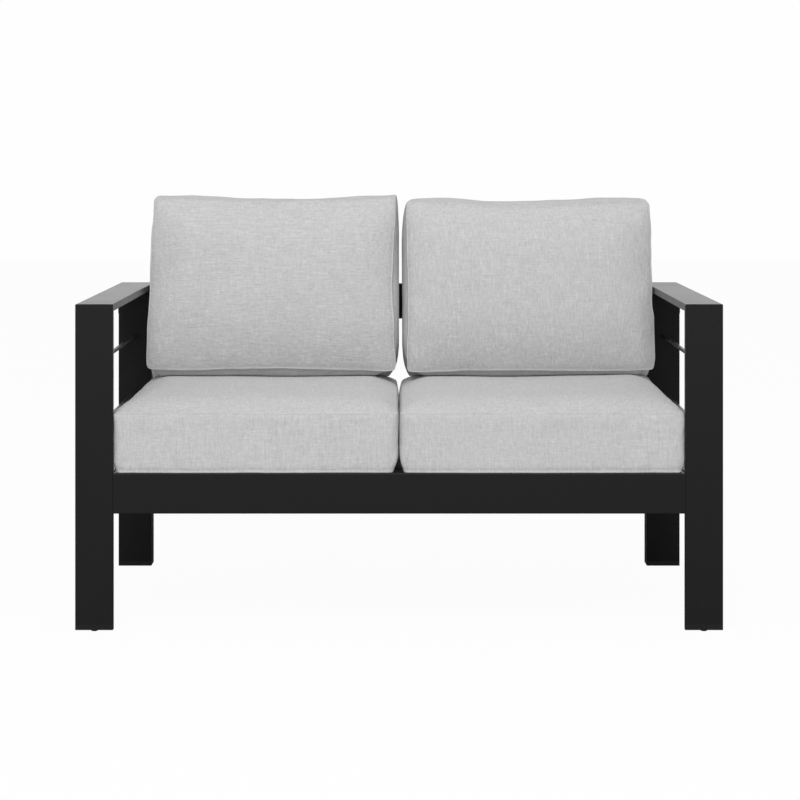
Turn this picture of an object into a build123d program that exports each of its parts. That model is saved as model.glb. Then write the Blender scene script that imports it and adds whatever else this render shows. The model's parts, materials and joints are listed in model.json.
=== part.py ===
from build123d import *
from dataclasses import dataclass, replace
from math import cos, radians, sin, sqrt
import os

# Patio loveseat with a black tube frame, two seat cushions and two leaning back cushions.
# Millimetres. X runs from the left arm to the right arm as seen from the front, the front
# faces -Y and +Z is up. The origin is on the floor, in the middle of the footprint.

# Driving dimensions of the whole seat
overall_width = 1280.0
overall_depth = 700.0
arm_height = 646.0
seat_rail_top = 312.0

# Legs, arms and rails
leg_width = 75.0
band_thickness = 15.0
rear_rail_thickness = 20.0
rear_leg_depth = 50.0
rail_height = 80.0
side_rail_thickness = 20.0
tube_wall = 1.5
tube_edge_radius = 2.5

# Slim bars inside each arm
arm_bar_width = 8.0
arm_bar_height = 6.0
arm_bar_edge_radius = 0.8
upper_bar_top = 529.0
lower_bar_top = 399.0

# Seat frame under the cushions
seat_side_width = 20.0
seat_side_height = 40.0
slat_width = 40.0
slat_height = 15.0
slat_wall = 1.2
slat_count = 11

# Feet
cap_height = 10.0
cap_insert_depth = 16.0
cap_insert_clearance = 0.15
glide_foot_height = 2.5
front_glide_diameter = 13.0
rear_glide_diameter = 20.0
glide_edge_chamfer = 0.7
glide_stem_diameter = 8.0
glide_stem_length = 22.0
turning_clearance = 0.05

# Plugs in the open rear ends of the arms
plug_plate_thickness = 2.0
plug_insert_depth = 12.0

# Bolts that hold the side frames, the seat frame and the back rail together
seat_bolt_diameter = 8.0
seat_bolt_setback = 70.0
seat_bolts_per_side = 3
rail_bolt_diameter = 6.0
rail_bolt_rises = (18.0, 42.0)
bolt_end_gap = 2.0
bolt_hole_clearance = 0.5
bush_wall = 2.0
bush_fit_clearance = 0.05
rail_bush_length = 18.0
rail_end_plate = 3.0
washer_thickness = 1.6
access_hole_diameter = 14.0
hole_plug_diameter = 16.0
hole_plug_thickness = 1.0
hole_plug_insert = 6.0

# Cushions
cover_thickness = 2.0
soft_clearance = 0.3
foam_crown_gap = 0.6
seat_cushion_depth = 630.0
seat_cushion_setback = 2.0
seat_band_height = 117.0
seat_crown = 24.0
seat_lower_bulge = 7.0
seat_upper_bulge = 3.5
seat_seam_draw = 4.0
back_cushion_slack = 5.0
back_cushion_taper = 1.0
back_cushion_height = 415.0
back_band_depth = 120.0
back_crown = 21.0
back_seam_bulge = 9.0
back_foot_bulge = 16.0
back_side_bow = 2.0
back_foot_bow = 8.0
back_top_draw = 4.0
back_seam_draw = 2.0
back_lean_angle = 12.9
back_foot_sink = 31.0
seat_seam_radius = 8.0
seat_band_radius = 12.0
back_seam_radius = 9.0
back_band_radius = 26.0

# Zips in the cushion covers
zip_length = 440.0
zip_tape_width = 26.0
zip_tape_thickness = 0.8
zip_coil_width = 5.0
zip_coil_height = 1.6
zip_back_rise = 62.0
zip_stop_length = 3.0
slider_length = 11.0
slider_width = 9.0
slider_roof = 1.2
slider_clearance = 0.3
slider_arch_height = 2.8
slider_arch_width = 2.2
slider_arch_length = 6.0
slider_tab_length = 24.0
slider_tab_width = 7.0
slider_tab_thickness = 1.0
slider_tab_bar = 1.6
slider_edge_radius = 0.8

# How far cutting tools run past what they cut
overrun = 1.0

# Where a cushion's band is measured, as shares of its height from the back seam to the face
# seam, and how much of each seam's inset and drawn-in bow is left there
band_level_shares = (0.0, 0.18, 0.5, 0.82, 1.0)
back_seam_shares = (1.0, 0.12, 0.0, 0.0, 0.0)
face_seam_shares = (0.0, 0.0, 0.0, 0.25, 1.0)
seam_draw_shares = (1.0, 0.3, 0.0, 0.3, 1.0)

# How a face rises to its crown: shares of the crown's height, against how far in from the
# seam they are reached, as shares of the face's shorter side
crown_rise_shares = (0.0, 0.55, 0.86, 1.0)
crown_inset_shares = (0.0, 0.075, 0.2, 0.34)
crown_radius_share = 0.25

# Each back cushion stands a little towards its own arm, as shares of its slack
back_shift_shares = {"left": -0.8, "right": 0.88}

# Bolt heads and washers, as shares of the bolt's diameter
bolt_head_share = 1.75
bolt_head_height_share = 0.55
bolt_socket_share = 0.62
bolt_socket_depth_share = 0.32
bolt_head_round_share = 0.2
washer_share = 2.0

# Places that follow from the driving dimensions
half_width = overall_width / 2
front_y = -overall_depth / 2
rear_y = overall_depth / 2
bay_half_width = half_width - leg_width
front_leg_back_y = front_y + band_thickness
rear_leg_front_y = rear_y - rear_leg_depth
rear_rail_back_y = rear_leg_front_y + rear_rail_thickness
arm_underside = arm_height - band_thickness
leg_tube_bottom = glide_foot_height + cap_height
seat_rail_bottom = seat_rail_top - rail_height
back_rail_bottom = arm_height - rail_height
seat_side_inner_x = bay_half_width - seat_side_width
arm_middle_x = half_width - leg_width / 2

SIDES = {"left": -1, "right": 1}

os.makedirs("parts", exist_ok=True)


def save(name, *solids):
    """Write one named piece, or a group of identical pieces, to its own file."""
    shape = solids[0] if len(solids) == 1 else Compound(children=list(solids))
    export_step(shape, f"parts/{name}.step")
    print(f"{name}: {len(solids)} solid(s)")


def block(x, y, z):
    """Return a box between two values on each axis, given in any order."""
    spans = [sorted(pair) for pair in (x, y, z)]
    middle = [(low + high) / 2 for low, high in spans]
    return Pos(*middle) * Box(*[high - low for low, high in spans])


def rod_along_x(x, y, z, radius):
    """Return a round rod along X between two values."""
    low, high = sorted(x)
    plane = Plane(origin=(low, y, z), x_dir=(0, 1, 0), z_dir=(1, 0, 0))
    return extrude(plane * Circle(radius), high - low)


def profile(run, x, y, z, radius):
    """Return a solid bar with rounded long edges that fills a box and runs along one axis."""
    spans = {"X": sorted(x), "Y": sorted(y), "Z": sorted(z)}
    across, up = {"X": ("Y", "Z"), "Y": ("Z", "X"), "Z": ("X", "Y")}[run]
    directions = {"X": (1, 0, 0), "Y": (0, 1, 0), "Z": (0, 0, 1)}
    start = {axis: sum(span) / 2 for axis, span in spans.items()}
    start[run] = spans[run][0]
    plane = Plane(
        origin=(start["X"], start["Y"], start["Z"]),
        x_dir=directions[across],
        z_dir=directions[run],
    )
    width = spans[across][1] - spans[across][0]
    height = spans[up][1] - spans[up][0]
    section = RectangleRounded(width, height, radius) if radius else Rectangle(width, height)
    return extrude(plane * section, spans[run][1] - spans[run][0])


def tube(run, x, y, z, wall, end_wall=0.0):
    """Return a rectangular tube along one axis, open ended unless it has end walls."""
    spans = {"X": sorted(x), "Y": sorted(y), "Z": sorted(z)}
    inner = {axis: (low + wall, high - wall) for axis, (low, high) in spans.items()}
    end = -overrun if end_wall == 0 else end_wall
    inner[run] = (spans[run][0] + end, spans[run][1] - end)
    bore = block(inner["X"], inner["Y"], inner["Z"])
    return profile(run, x, y, z, tube_edge_radius) - bore


# Side frames: one mitred band forms each front leg and arm, and the rear leg carries its end

def mitre_cut(side, of_leg):
    """Return the wedge that cuts a leg's top or an arm's front end to 45 degrees."""
    reach = band_thickness + overrun
    upper = (front_y - overrun, arm_height + overrun)
    lower = (front_y + reach, arm_height - reach)
    corner = (lower[0], upper[1]) if of_leg else (upper[0], lower[1])
    plane = Plane(origin=(-half_width - overrun, 0, 0), x_dir=(0, 1, 0), z_dir=(1, 0, 0))
    wedge = make_face(Polyline(upper, lower, corner, close=True))
    return extrude(plane * wedge, overall_width + 2 * overrun)


def side_span(side, inner, outer):
    """Return an X span on the given side, from distances measured from the middle."""
    return (side * inner, side * outer)


for side_name, side in SIDES.items():
    leg_x = side_span(side, bay_half_width, half_width)
    front_leg = tube("Z", leg_x, (front_y, front_leg_back_y), (leg_tube_bottom, arm_height),
                     tube_wall)
    save(f"{side_name}_front_leg", front_leg - mitre_cut(side, of_leg=True))

    rear_leg = tube("Z", leg_x, (rear_leg_front_y, rear_y), (leg_tube_bottom, arm_underside),
                    tube_wall)
    rail_bolt_y = rear_leg_front_y + rear_rail_thickness / 2
    for rise in rail_bolt_rises:
        z = back_rail_bottom + rise
        shank_hole = rail_bolt_diameter / 2 + bolt_hole_clearance
        inner_wall = side_span(side, bay_half_width - overrun, bay_half_width + tube_wall + overrun)
        outer_wall = side_span(side, half_width - tube_wall - overrun, half_width + overrun)
        rear_leg -= rod_along_x(inner_wall, rail_bolt_y, z, shank_hole)
        rear_leg -= rod_along_x(outer_wall, rail_bolt_y, z, access_hole_diameter / 2)
    save(f"{side_name}_rear_leg", rear_leg)

    arm = tube("Y", leg_x, (front_y, rear_y - plug_plate_thickness), (arm_underside, arm_height),
               tube_wall)
    save(f"{side_name}_arm_top", arm - mitre_cut(side, of_leg=False))

    bar_x = side_span(side, arm_middle_x - arm_bar_width / 2, arm_middle_x + arm_bar_width / 2)
    for bar_name, bar_top in (("upper", upper_bar_top), ("lower", lower_bar_top)):
        bar = profile("Y", bar_x, (front_leg_back_y, rear_leg_front_y),
                      (bar_top - arm_bar_height, bar_top), arm_bar_edge_radius)
        save(f"{side_name}_arm_{bar_name}_bar", bar)


# Side rails low in the side frames, with threaded bushes welded through them

seat_bolt_z = seat_rail_top - seat_side_height / 2
seat_bolt_span = rear_leg_front_y - front_leg_back_y - 2 * seat_bolt_setback
seat_bolt_ys = [
    front_leg_back_y + seat_bolt_setback + seat_bolt_span * index / (seat_bolts_per_side - 1)
    for index in range(seat_bolts_per_side)
]
seat_bush_radius = seat_bolt_diameter / 2 + bush_wall
rail_bush_radius = rail_bolt_diameter / 2 + bush_wall
side_rail_outer_x = bay_half_width + side_rail_thickness
seat_bushes = []
for side_name, side in SIDES.items():
    side_rail = tube("Y", side_span(side, bay_half_width, side_rail_outer_x),
                     (front_leg_back_y, rear_leg_front_y), (seat_rail_bottom, seat_rail_top),
                     tube_wall)
    through = side_span(side, bay_half_width - overrun, side_rail_outer_x + overrun)
    for y in seat_bolt_ys:
        side_rail -= rod_along_x(through, y, seat_bolt_z, seat_bush_radius + bush_fit_clearance)
        bush = rod_along_x(side_span(side, bay_half_width, side_rail_outer_x), y, seat_bolt_z,
                           seat_bush_radius)
        seat_bushes.append(bush - rod_along_x(through, y, seat_bolt_z,
                                              seat_bolt_diameter / 2 + turning_clearance))
    save(f"{side_name}_side_rail", side_rail)
save("side_rail_bushes", *seat_bushes)


# Seat frame: front and rear rails, two side members and the slats between them

bay_x = (-bay_half_width, bay_half_width)
seat_rail_z = (seat_rail_bottom, seat_rail_top)
save("front_rail", tube("X", bay_x, (front_y, front_leg_back_y), seat_rail_z, tube_wall))
save("rear_seat_rail",
     tube("X", bay_x, (rear_leg_front_y, rear_rail_back_y), seat_rail_z, tube_wall))

slat_y = (front_leg_back_y, rear_leg_front_y)
for side_name, side in SIDES.items():
    side_member = tube("Y", side_span(side, seat_side_inner_x, bay_half_width), slat_y,
                       (seat_rail_top - seat_side_height, seat_rail_top), tube_wall)
    through = side_span(side, seat_side_inner_x - overrun, bay_half_width + overrun)
    for y in seat_bolt_ys:
        side_member -= rod_along_x(through, y, seat_bolt_z,
                                   seat_bolt_diameter / 2 + bolt_hole_clearance)
    save(f"{side_name}_seat_frame_side", side_member)

slat_gap = (2 * seat_side_inner_x - slat_count * slat_width) / (slat_count + 1)
for index in range(slat_count):
    slat_left = -seat_side_inner_x + slat_gap + index * (slat_width + slat_gap)
    slat = tube("Y", (slat_left, slat_left + slat_width), slat_y,
                (seat_rail_top - slat_height, seat_rail_top), slat_wall)
    save(f"seat_slat_{index + 1}", slat)


# Back top rail, closed at its ends by plates that hold threaded bushes

back_rail = tube("X", bay_x, (rear_leg_front_y, rear_rail_back_y),
                 (back_rail_bottom, arm_height), tube_wall, rail_end_plate)
rail_bushes = []
for side in SIDES.values():
    end_x = side_span(side, bay_half_width - rail_bush_length, bay_half_width)
    through = side_span(side, bay_half_width - rail_bush_length - overrun,
                        bay_half_width + overrun)
    for rise in rail_bolt_rises:
        z = back_rail_bottom + rise
        back_rail -= rod_along_x(through, rail_bolt_y, z, rail_bush_radius + bush_fit_clearance)
        bush = rod_along_x(end_x, rail_bolt_y, z, rail_bush_radius)
        rail_bushes.append(bush - rod_along_x(through, rail_bolt_y, z,
                                              rail_bolt_diameter / 2 + turning_clearance))
save("back_top_rail", back_rail)
save("back_rail_bushes", *rail_bushes)


# Bolts and washers

def bolt(diameter, length):
    """Return a round-headed bolt with a hexagon socket, its head above Z = 0."""
    head_height = diameter * bolt_head_height_share
    head = extrude(Circle(diameter * bolt_head_share / 2), head_height)
    rim = head.edges().sort_by(Axis.Z)[-1]
    head = fillet(rim, diameter * bolt_head_round_share)
    socket_depth = diameter * bolt_socket_depth_share
    socket = extrude(RegularPolygon(diameter * bolt_socket_share / 2, 6),
                     socket_depth + overrun)
    shank = extrude(Circle(diameter / 2), -length)
    return head - Pos(0, 0, head_height - socket_depth) * socket + shank


def washer(diameter):
    """Return a flat washer that lies on Z = 0."""
    ring = Circle(diameter * washer_share / 2) - Circle(diameter / 2 + bolt_hole_clearance)
    return extrude(ring, washer_thickness)


def fastener_place(x, y, z, outward):
    """Return the place of a fastener whose head points along X, outward = 1 or -1."""
    return Plane(origin=(x, y, z), x_dir=(0, 1, 0), z_dir=(outward, 0, 0)).location


seat_bolt_length = washer_thickness + seat_side_width + side_rail_thickness - bolt_end_gap
rail_bolt_length = washer_thickness + tube_wall + rail_bush_length - bolt_end_gap
seat_bolts = []
rail_bolts = []
washers = []
for side in SIDES.values():
    for y in seat_bolt_ys:
        head_x = side * (seat_side_inner_x - washer_thickness)
        seat_bolts.append(fastener_place(head_x, y, seat_bolt_z, -side)
                          * bolt(seat_bolt_diameter, seat_bolt_length))
        washers.append(fastener_place(side * seat_side_inner_x, y, seat_bolt_z, -side)
                       * washer(seat_bolt_diameter))
    for rise in rail_bolt_rises:
        z = back_rail_bottom + rise
        wall_x = side * (bay_half_width + tube_wall)
        head_x = side * (bay_half_width + tube_wall + washer_thickness)
        rail_bolts.append(fastener_place(head_x, rail_bolt_y, z, side)
                          * bolt(rail_bolt_diameter, rail_bolt_length))
        washers.append(fastener_place(wall_x, rail_bolt_y, z, side)
                       * washer(rail_bolt_diameter))
save("seat_frame_bolts", *seat_bolts)
save("back_rail_bolts", *rail_bolts)
save("bolt_washers", *washers)


# Plastic plugs that close the bolt access holes, and the arms' rear ends

hole_plugs = []
for side in SIDES.values():
    for rise in rail_bolt_rises:
        z = back_rail_bottom + rise
        flange = rod_along_x(side_span(side, half_width, half_width + hole_plug_thickness),
                             rail_bolt_y, z, hole_plug_diameter / 2)
        stem = rod_along_x(side_span(side, half_width - hole_plug_insert, half_width),
                           rail_bolt_y, z, access_hole_diameter / 2 - cap_insert_clearance)
        hole_plugs.append(flange + stem)
save("rear_leg_hole_plugs", *hole_plugs)

for side_name, side in SIDES.items():
    plate_y = (rear_y - plug_plate_thickness, rear_y)
    plate = profile("Y", side_span(side, bay_half_width, half_width), plate_y,
                    (arm_underside, arm_height), tube_edge_radius)
    margin = tube_wall + cap_insert_clearance
    insert = block(side_span(side, bay_half_width + margin, half_width - margin),
                   (plate_y[0] - plug_insert_depth, plate_y[0]),
                   (arm_underside + margin, arm_height - margin))
    save(f"{side_name}_arm_end_plug", plate + insert)


# Feet: a plastic cap closes each leg and holds a screw-in glide

def leg_cap(x, y):
    """Return the cap of one leg, with its insert and the bore for the glide's stem."""
    x = sorted(x)
    y = sorted(y)
    margin = tube_wall + cap_insert_clearance
    pad = profile("Z", x, y, (glide_foot_height, leg_tube_bottom), tube_edge_radius)
    insert = block((x[0] + margin, x[1] - margin), (y[0] + margin, y[1] - margin),
                   (leg_tube_bottom, leg_tube_bottom + cap_insert_depth))
    bore = extrude(Circle(glide_stem_diameter / 2 + turning_clearance),
                   glide_foot_height + cap_height + cap_insert_depth + overrun)
    return pad + insert - Pos(sum(x) / 2, sum(y) / 2, 0) * bore


def glide(x, y, diameter):
    """Return one glide: a round foot on the floor and a stem up into the cap."""
    foot = extrude(Circle(diameter / 2), glide_foot_height)
    rim = foot.edges().sort_by(Axis.Z)[0]
    foot = chamfer(rim, glide_edge_chamfer)
    stem = extrude(Circle(glide_stem_diameter / 2), glide_foot_height + glide_stem_length)
    return Pos(sum(x) / 2, sum(y) / 2, 0) * (foot + stem)


for side_name, side in SIDES.items():
    leg_x = side_span(side, bay_half_width, half_width)
    feet = {
        "front": ((front_y, front_leg_back_y), front_glide_diameter),
        "rear": ((rear_leg_front_y, rear_y), rear_glide_diameter),
    }
    for end_name, (leg_y, diameter) in feet.items():
        save(f"{side_name}_{end_name}_leg_cap", leg_cap(leg_x, leg_y))
        save(f"{side_name}_{end_name}_glide", glide(leg_x, leg_y, diameter))


# Cushions: a boxed form with a band between two seams, a flat back panel and a crowned face

@dataclass
class CushionForm:
    """A cushion that lies on its back panel: X across, Y from its near to its far end."""
    near_width: float
    far_width: float
    length: float
    band: float
    crown: float
    back_bulge: float
    face_bulge: float
    near_bulge: float
    near_bow: float
    side_bow: float
    far_bow: float
    seam_draw: float
    seam_radius: float
    band_radius: float


def bowed_side(start, end, bow):
    """Return one side of an outline, bowed outward to the right of its direction."""
    run = Vector(*end) - Vector(*start)
    middle = (Vector(*start) + Vector(*end)) / 2
    outward = Vector(run.Y, -run.X, 0).normalized()
    if bow == 0:
        return Line(start, end)
    return ThreePointArc(start, middle + outward * bow, end)


def outline(near_half, far_half, near, far, bows, radius, level):
    """Return a cushion's outline at one level: four bowed sides and four corner arcs."""
    near_bow, side_bow, far_bow = bows
    cut = radius * (1 - sqrt(0.5))
    edges = [
        bowed_side((-near_half + radius, near), (near_half - radius, near), near_bow),
        ThreePointArc((near_half - radius, near), (near_half - cut, near + cut),
                      (near_half, near + radius)),
        bowed_side((near_half, near + radius), (far_half, far - radius), side_bow),
        ThreePointArc((far_half, far - radius), (far_half - cut, far - cut),
                      (far_half - radius, far)),
        bowed_side((far_half - radius, far), (-far_half + radius, far), far_bow),
        ThreePointArc((-far_half + radius, far), (-far_half + cut, far - cut),
                      (-far_half, far - radius)),
        bowed_side((-far_half, far - radius), (-near_half, near + radius), side_bow),
        ThreePointArc((-near_half, near + radius), (-near_half + cut, near + cut),
                      (-near_half + radius, near)),
    ]
    return Pos(0, 0, level) * Wire(edges)


def cushion_solid(form, skin):
    """Return the cushion's solid, with every surface a skin's depth inside the cover."""
    band = form.band
    levels = [skin + share * (band - 2 * skin) for share in band_level_shares]
    shares = zip(levels, back_seam_shares, face_seam_shares, seam_draw_shares)
    band_wires = []
    for level, back_share, face_share, draw_share in shares:
        inset = skin + back_share * form.back_bulge + face_share * form.face_bulge
        seam_share = back_share + face_share
        near_bow = (1 - seam_share) * form.near_bow
        near = skin + seam_share * form.near_bulge + near_bow
        draw = draw_share * form.seam_draw
        far = form.length - inset
        bows = (near_bow - draw, form.side_bow - draw, form.far_bow - draw)
        radius = form.band_radius + seam_share * (form.seam_radius - form.band_radius)
        band_wires.append(outline(form.near_width / 2 - inset, form.far_width / 2 - inset,
                                  near, far, bows, radius, level))
    seam_inset = skin + form.face_bulge
    seam_near = skin + form.near_bulge
    shorter = min(form.near_width, form.length)
    crown_wires = [band_wires[-1]]
    for rise_share, inset_share in list(zip(crown_rise_shares, crown_inset_shares))[1:]:
        inset = inset_share * shorter
        keep = 1 - inset_share / crown_inset_shares[-1]
        draw = form.seam_draw * keep
        bows = (-draw, form.side_bow * keep - draw, form.far_bow * keep - draw)
        crown_wires.append(outline(
            form.near_width / 2 - seam_inset - inset, form.far_width / 2 - seam_inset - inset,
            seam_near + inset, form.length - seam_inset - inset, bows,
            form.seam_radius + crown_radius_share * inset,
            band - skin + rise_share * form.crown))
    return Solid.make_loft(band_wires) + Solid.make_loft(crown_wires)


def foam_solid(form):
    """Return the filling, clear of the cover's inside and a little flatter at its crown."""
    flatter = replace(form, crown=form.crown - foam_crown_gap)
    return cushion_solid(flatter, cover_thickness + soft_clearance)


def print_cushion(name, solid):
    """Print the size of one cushion's outer form."""
    size = solid.bounding_box().size
    print(f"{name}: {size.X:.1f} x {size.Y:.1f} x {size.Z:.1f} mm, {solid.volume / 1e6:.1f} litres")


# Zips: a tape with its coil, and a slider with a pull tab that runs along it

def zip_tape():
    """Return a closed zip along X, lying on Z = 0 with its coil upward."""
    tape = block((0, zip_length), (-zip_tape_width / 2, zip_tape_width / 2),
                 (0, zip_tape_thickness))
    coil_top = zip_tape_thickness + zip_coil_height
    coil = block((zip_stop_length, zip_length - zip_stop_length),
                 (-zip_coil_width / 2, zip_coil_width / 2), (zip_tape_thickness, coil_top))
    ridge_edges = coil.edges().filter_by(Axis.X).group_by(Axis.Z)[-1]
    coil = fillet(ridge_edges, zip_coil_height / 2)
    stops = [
        block((x, x + zip_stop_length), (-zip_coil_width, zip_coil_width),
              (zip_tape_thickness, coil_top))
        for x in (0, zip_length - zip_stop_length)
    ]
    return tape + coil + stops[0] + stops[1]


def zip_slider():
    """Return the slider over the coil's first stretch, and its pull tab under the arch."""
    start = zip_stop_length + slider_clearance
    base = zip_tape_thickness + slider_clearance
    groove_top = zip_tape_thickness + zip_coil_height + slider_clearance
    roof_top = groove_top + slider_roof
    body = block((start, start + slider_length), (-slider_width / 2, slider_width / 2),
                 (base, roof_top))
    upright_edges = body.edges().filter_by(Axis.Z)
    body = fillet(upright_edges, slider_edge_radius)
    groove_half = zip_coil_width / 2 + slider_clearance
    body -= block((start - overrun, start + slider_length + overrun),
                  (-groove_half, groove_half), (base - overrun, groove_top))
    arch_start = start + (slider_length - slider_arch_length) / 2
    arch_leg = (slider_arch_length - slider_tab_bar - 2 * slider_clearance) / 2
    arch = block((arch_start, arch_start + slider_arch_length),
                 (-slider_arch_width / 2, slider_arch_width / 2),
                 (roof_top, roof_top + slider_arch_height))
    window_top = roof_top + 2 * slider_clearance + slider_tab_thickness
    window = (arch_start + arch_leg, arch_start + slider_arch_length - arch_leg)
    arch -= block(window, (-slider_arch_width, slider_arch_width), (roof_top, window_top))
    tab_start = window[0] + slider_clearance
    tab_z = (roof_top + slider_clearance, roof_top + slider_clearance + slider_tab_thickness)
    tab = block((tab_start, tab_start + slider_tab_length),
                (-slider_tab_width / 2, slider_tab_width / 2), tab_z)
    slot_end = tab_start + slider_tab_bar + arch_leg + 2 * slider_clearance
    slot_half = slider_arch_width / 2 + slider_clearance
    tab -= block((tab_start + slider_tab_bar, slot_end), (-slot_half, slot_half),
                 (tab_z[0] - overrun, tab_z[1] + overrun))
    return body + arch, tab


def save_zip(name, place):
    """Write one zip and its slider where the cover holds them."""
    body, tab = zip_slider()
    save(f"{name}_zip", place * zip_tape())
    save(f"{name}_zip_slider", place * body, place * tab)


# Seat cushions: they lie on the slats and rails, side by side between the arms

seat_form = CushionForm(
    near_width=bay_half_width - 2 * soft_clearance,
    far_width=bay_half_width - 2 * soft_clearance,
    length=seat_cushion_depth,
    band=seat_band_height,
    crown=seat_crown,
    back_bulge=seat_lower_bulge,
    face_bulge=seat_upper_bulge,
    near_bulge=seat_lower_bulge / 2,
    near_bow=0.0,
    side_bow=0.0,
    far_bow=0.0,
    seam_draw=seat_seam_draw,
    seam_radius=seat_seam_radius,
    band_radius=seat_band_radius,
)
seat_outer = cushion_solid(seat_form, 0.0)
seat_cover = seat_outer - cushion_solid(seat_form, cover_thickness)
seat_foam = foam_solid(seat_form)
seat_front_y = front_y + seat_cushion_setback
seat_rear_y = seat_front_y + seat_cushion_depth
seat_zip_z = seat_rail_top + seat_band_height * band_level_shares[2]
print_cushion("seat cushion", seat_outer)
for side_name, side in SIDES.items():
    middle_x = side * bay_half_width / 2
    place = Pos(middle_x, seat_front_y, seat_rail_top)
    save(f"{side_name}_seat_cushion_cover", place * seat_cover)
    save(f"{side_name}_seat_cushion_foam", place * seat_foam)
    zip_plane = Plane(origin=(middle_x + zip_length / 2, seat_rear_y + soft_clearance, seat_zip_z),
                      x_dir=(-1, 0, 0), z_dir=(0, 1, 0))
    save_zip(f"{side_name}_seat_cushion", zip_plane.location)


# Back cushions: they stand on the seat cushions and lean on the back rail's upper front edge

lean = radians(back_lean_angle)
back_middle_width = bay_half_width - back_cushion_slack - 2 * back_side_bow
back_form = CushionForm(
    near_width=back_middle_width + back_cushion_taper,
    far_width=back_middle_width - back_cushion_taper,
    length=back_cushion_height,
    band=back_band_depth,
    crown=back_crown,
    back_bulge=back_seam_bulge,
    face_bulge=back_seam_bulge,
    near_bulge=back_foot_bulge,
    near_bow=back_foot_bow,
    side_bow=back_side_bow,
    far_bow=-back_top_draw,
    seam_draw=back_seam_draw,
    seam_radius=back_seam_radius,
    band_radius=back_band_radius,
)
# The rail's edge is an arc, and the back panel's plane stays a soft clearance outside it
rail_arc_y = rear_leg_front_y + tube_edge_radius
rail_arc_z = arm_height - tube_edge_radius
seat_crown_top = seat_rail_top + seat_band_height + seat_crown
foot_z = seat_crown_top - back_foot_sink
rise_to_arc = rail_arc_z - foot_z
foot_y = rail_arc_y - rise_to_arc * sin(lean) / cos(lean)
foot_y -= (tube_edge_radius + soft_clearance) / cos(lean)


def back_place(x):
    """Return the place of a back cushion: its back panel turned to lean on the rail."""
    return Plane(origin=(x, foot_y, foot_z), x_dir=(1, 0, 0),
                 z_dir=(0, -cos(lean), sin(lean))).location


back_outer = cushion_solid(back_form, 0.0)
back_inner = cushion_solid(back_form, cover_thickness)
back_core = foam_solid(back_form)
print_cushion("back cushion", back_outer)
for side_name, side in SIDES.items():
    bay_middle_x = side * bay_half_width / 2
    shift = back_shift_shares[side_name] * back_cushion_slack / 2
    place = back_place(bay_middle_x + shift)
    seat_place = Pos(bay_middle_x, seat_front_y, seat_rail_top)
    lifts = [soft_clearance, soft_clearance + cover_thickness,
             2 * soft_clearance + cover_thickness]
    outer, inner, core = [
        place * solid - Pos(0, 0, lift) * (seat_place * seat_outer)
        for solid, lift in zip((back_outer, back_inner, back_core), lifts)
    ]
    save(f"{side_name}_back_cushion_cover", outer - inner)
    save(f"{side_name}_back_cushion_foam", core)
    zip_place = place * Plane(origin=(zip_length / 2, zip_back_rise, 0), x_dir=(-1, 0, 0),
                              z_dir=(0, 0, -1)).location
    save_zip(f"{side_name}_back_cushion", zip_place)
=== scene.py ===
# %% [markdown]
# # A patio loveseat
# This file dresses a patio loveseat: a low frame of black powder-coated tube, two boxed seat
# cushions and two loose back cushions. The frame, the plastic feet, the bolts and the zips
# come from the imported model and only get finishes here. The cushions are made here, because
# cloth needs more shape than a plain solid gives. Lengths are metres, +Z is up, and the front
# faces -Y.

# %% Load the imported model
import bmesh
import bpy
import json
import math
import numpy as np
from mathutils import Matrix, Vector, noise
from mathutils.bvhtree import BVHTree


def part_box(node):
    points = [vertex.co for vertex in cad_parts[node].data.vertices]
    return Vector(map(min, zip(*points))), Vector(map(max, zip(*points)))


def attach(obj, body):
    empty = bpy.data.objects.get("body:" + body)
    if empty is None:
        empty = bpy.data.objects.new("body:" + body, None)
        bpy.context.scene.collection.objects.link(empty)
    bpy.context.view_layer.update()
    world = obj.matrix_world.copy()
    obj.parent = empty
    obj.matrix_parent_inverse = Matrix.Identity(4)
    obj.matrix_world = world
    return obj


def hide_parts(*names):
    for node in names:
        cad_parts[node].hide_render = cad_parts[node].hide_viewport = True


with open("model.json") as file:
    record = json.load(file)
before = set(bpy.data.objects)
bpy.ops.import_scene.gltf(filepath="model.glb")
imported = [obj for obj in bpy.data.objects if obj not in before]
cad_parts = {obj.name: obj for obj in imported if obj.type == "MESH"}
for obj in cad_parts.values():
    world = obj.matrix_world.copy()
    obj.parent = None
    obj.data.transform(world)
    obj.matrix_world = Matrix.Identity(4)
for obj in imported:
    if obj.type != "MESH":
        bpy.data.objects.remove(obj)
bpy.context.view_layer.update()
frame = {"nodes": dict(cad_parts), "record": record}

# %% [markdown]
# ## The camera
# The photograph is a straight front view from a little above the seat. Its vanishing point lies
# high in the picture, in the middle, so the camera looks level along +Y from that height, and a
# vertical shift brings the seat into the frame. Turning the camera down instead would make the
# upright legs lean.

# %% Place the camera
SENSOR_WIDTH = 0.036
CAMERA_HEIGHT = 0.9495
CAMERA_DISTANCE = 4.54
LENS = 95.5
SHIFT = (0.0011, -0.3119)


def place_camera():
    """Make the camera at the photograph's viewing angle."""
    data = bpy.data.cameras.new("front_view")
    data.sensor_width = SENSOR_WIDTH * 1000
    data.lens = LENS
    data.shift_x, data.shift_y = SHIFT
    camera = bpy.data.objects.new("front_view", data)
    camera.location = (0, -CAMERA_DISTANCE, CAMERA_HEIGHT)
    camera.rotation_euler = (math.radians(90), 0, 0)
    bpy.context.scene.collection.objects.link(camera)
    bpy.context.scene.camera = camera
    return camera


camera = place_camera()
print("camera at", tuple(round(v, 3) for v in camera.location), "lens", LENS)

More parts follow.
